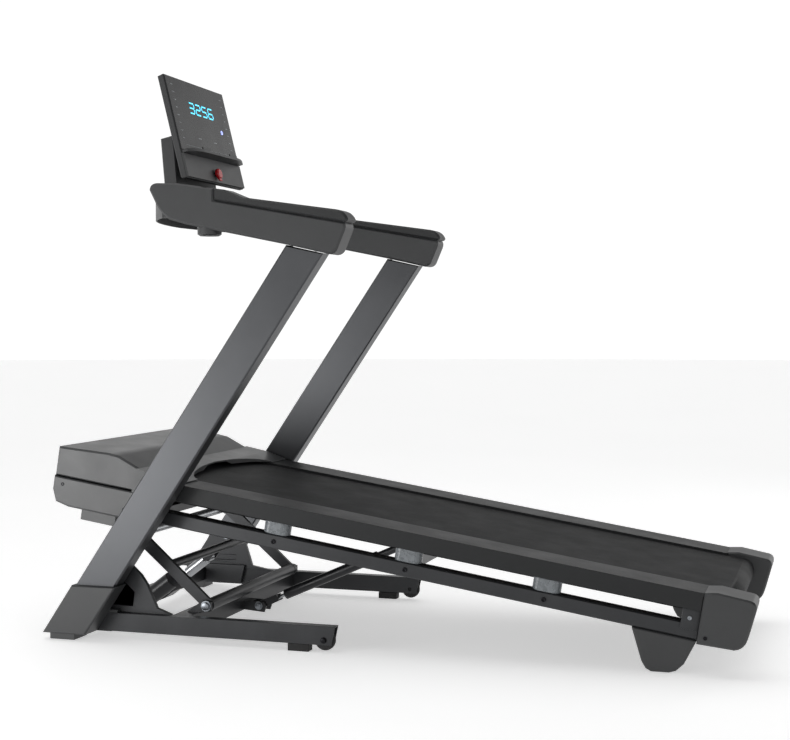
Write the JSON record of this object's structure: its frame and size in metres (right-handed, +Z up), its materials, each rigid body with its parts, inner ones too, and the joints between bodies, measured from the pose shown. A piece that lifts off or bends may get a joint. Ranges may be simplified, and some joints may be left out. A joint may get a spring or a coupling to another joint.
{
  "type": "folding motorised treadmill",
  "caption": "Folding home treadmill with a powered incline, slanting uprights, bow-shaped handrail bridge, tilting touch display and a belt deck that folds up on a strut.",
  "frame": {"origin": "on the floor, under the middle of the whole machine's bounding box", "axes": "+X towards the tail of the deck, +Y to the runner's right when facing the display, +Z up"},
  "size_m": [1.815, 0.896, 1.4835],
  "materials": {
    "powder_coat": "satin charcoal powder coat",
    "black_plastic": "fine-grained matte black",
    "side_rail_plastic": "matte black with a ribbed tread",
    "grip_rubber": "soft matte",
    "black_rubber": "matte",
    "belt_rubber": "fine woven texture",
    "steel": "ground and zinc plated",
    "motor_body": "semi-gloss black",
    "grey_elastomer": "satin, slightly cloudy",
    "board": "waxed fibreboard",
    "display_glass": "gloss black",
    "red_plastic": "gloss"
  },
  "bodies": {
    "base": {"base_rail_left": "powder_coat", "base_rail_right": "powder_coat", "foot_pad_left": "black_rubber", "foot_pad_right": "black_rubber", "front_cross_tube": "powder_coat", "rear_cross_tube": "powder_coat", "guide_bracket_left": "powder_coat", "guide_bracket_right": "powder_coat", "upright_left": "powder_coat", "upright_right": "powder_coat", "boot_left": "black_plastic", "boot_right": "black_plastic", "handrail_left": "black_plastic", "handrail_right": "black_plastic", "handrail_grip_left": "grip_rubber", "handrail_grip_right": "grip_rubber", "cup_holder_left": "black_plastic", "cup_holder_right": "black_plastic", "console_bridge": "black_plastic"},
    "lift": {"lift_frame": "powder_coat"},
    "axle": {"fold_axle": "steel"},
    "deck": {"frame_tube_left": "powder_coat", "frame_tube_right": "powder_coat", "frame_crossbar_front": "powder_coat", "frame_crossbar_rear": "powder_coat", "frame_crossbar_middle": "powder_coat", "rear_foot_left": "black_plastic", "rear_foot_right": "black_plastic", "foot_rail_left": "side_rail_plastic", "foot_rail_right": "side_rail_plastic", "deck_board": "board", "cushion_left_1": "grey_elastomer", "cushion_left_2": "grey_elastomer", "cushion_left_3": "grey_elastomer", "cushion_right_1": "grey_elastomer", "cushion_right_2": "grey_elastomer", "cushion_right_3": "grey_elastomer", "walking_belt": "belt_rubber", "drive_belt": "belt_rubber", "drive_motor": "motor_body", "end_cap_left": "black_plastic", "end_cap_right": "black_plastic", "hood_top": "black_plastic", "hood_base": "black_plastic"},
    "roller_front": {"front_roller": "steel"},
    "roller_rear": {"rear_roller": "steel"},
    "pulley": {"motor_pulley": "steel"},
    "wheel_left": {"transport_wheel_left": "black_rubber"},
    "wheel_right": {"transport_wheel_right": "black_rubber"},
    "display": {"display_housing": "black_plastic", "display_screen": "display_glass", "device_shelf": "black_plastic"},
    "key": {"safety_key": "red_plastic"},
    "drive": {"incline_motor": "motor_body"},
    "drive_tube": {"incline_tube": "steel"},
    "yoke": {"strut_yoke": "powder_coat"},
    "rod": {"strut_rod": "steel"},
    "sleeve": {"strut_sleeve": "powder_coat"},
    "cylinder": {"strut_cylinder": "powder_coat"},
    "head": {"strut_head": "powder_coat"}
  },
  "joints": [
    {"name": "incline", "type": "hinge", "parent": "base", "child": "lift", "pos_m": [-0.48402, 0, 0.084], "axis": [0, 1, 0], "range_deg": [-39, 0]},
    {"name": "axle_follow", "type": "hinge", "parent": "lift", "child": "axle", "pos_m": [-0.68902, 0, 0.262], "axis": [0, 1, 0], "range_deg": [0, 32.3]},
    {"name": "fold", "type": "hinge", "parent": "axle", "child": "deck", "pos_m": [-0.68902, 0, 0.262], "axis": [0, -1, 0], "range_deg": [0, 72]},
    {"name": "front_roller_spin", "type": "hinge", "parent": "deck", "child": "roller_front", "pos_m": [-0.64966, 0, 0.38408], "axis": [0, 1, 0], "continuous": true},
    {"name": "rear_roller_spin", "type": "hinge", "parent": "deck", "child": "roller_rear", "pos_m": [0.8303, 0, 0.15232], "axis": [0, 1, 0], "continuous": true},
    {"name": "motor_pulley_spin", "type": "hinge", "parent": "deck", "child": "pulley", "pos_m": [-0.79223, 0, 0.39153], "axis": [0, 1, 0], "continuous": true},
    {"name": "wheel_left_spin", "type": "hinge", "parent": "base", "child": "wheel_left", "pos_m": [-0.13402, -0.3705, 0.0317], "axis": [0, 1, 0], "continuous": true},
    {"name": "wheel_right_spin", "type": "hinge", "parent": "base", "child": "wheel_right", "pos_m": [-0.13402, 0.3705, 0.0317], "axis": [0, 1, 0], "continuous": true},
    {"name": "display_tilt", "type": "hinge", "parent": "base", "child": "display", "pos_m": [-0.64311, 0, 1.28961], "axis": [0, 1, 0], "range_deg": [-10, 10]},
    {"name": "safety_key_pull", "type": "slide", "parent": "display", "child": "key", "axis": [0.9699, 0, 0.2436], "range_m": [0, 0.012]},
    {"name": "incline_motor_tilt", "type": "hinge", "parent": "base", "child": "drive", "pos_m": [-0.76102, 0, 0.05], "axis": [0, 1, 0], "range_deg": [0, 33.4]},
    {"name": "incline_screw", "type": "slide", "parent": "drive", "child": "drive_tube", "axis": [0.7956, 0, 0.6058], "range_m": [-0.055, 0]},
    {"name": "strut_yoke_turn", "type": "hinge", "parent": "base", "child": "yoke", "pos_m": [-0.45602, 0, 0.034], "axis": [0, 1, 0], "range_deg": [0, 7.64]},
    {"name": "strut_swing", "type": "hinge", "parent": "yoke", "child": "rod", "pos_m": [-0.45602, 0, 0.034], "axis": [0, -1, 0], "range_deg": [0, 66]},
    {"name": "strut_stage_lower", "type": "slide", "parent": "rod", "child": "sleeve", "axis": [0.9141, 0, 0.4056], "range_m": [0, 0.19]},
    {"name": "strut_stage_upper", "type": "slide", "parent": "sleeve", "child": "cylinder", "axis": [0.9141, 0, 0.4056], "range_m": [0, 0.19]},
    {"name": "strut_head_slide", "type": "slide", "parent": "cylinder", "child": "head", "axis": [0.9141, 0, 0.4056], "range_m": [-0.094, 0]}
  ],
  "couplings": [
    {"joint": "axle_follow", "follows": "incline", "ratio": -0.8221},
    {"joint": "rear_roller_spin", "follows": "front_roller_spin", "ratio": 1},
    {"joint": "motor_pulley_spin", "follows": "front_roller_spin", "ratio": 2.7143},
    {"joint": "incline_motor_tilt", "follows": "incline", "ratio": -0.8494},
    {"joint": "incline_screw", "follows": "incline", "m_per_rad": 0.08033},
    {"joint": "strut_yoke_turn", "follows": "incline", "ratio": -0.1958},
    {"joint": "strut_swing", "follows": "fold", "ratio": 0.9125},
    {"joint": "strut_stage_lower", "follows": "fold", "m_per_rad": 0.14985},
    {"joint": "strut_stage_upper", "follows": "fold", "m_per_rad": 0.14985},
    {"joint": "strut_head_slide", "follows": "incline", "m_per_rad": 0.1368}
  ]
}
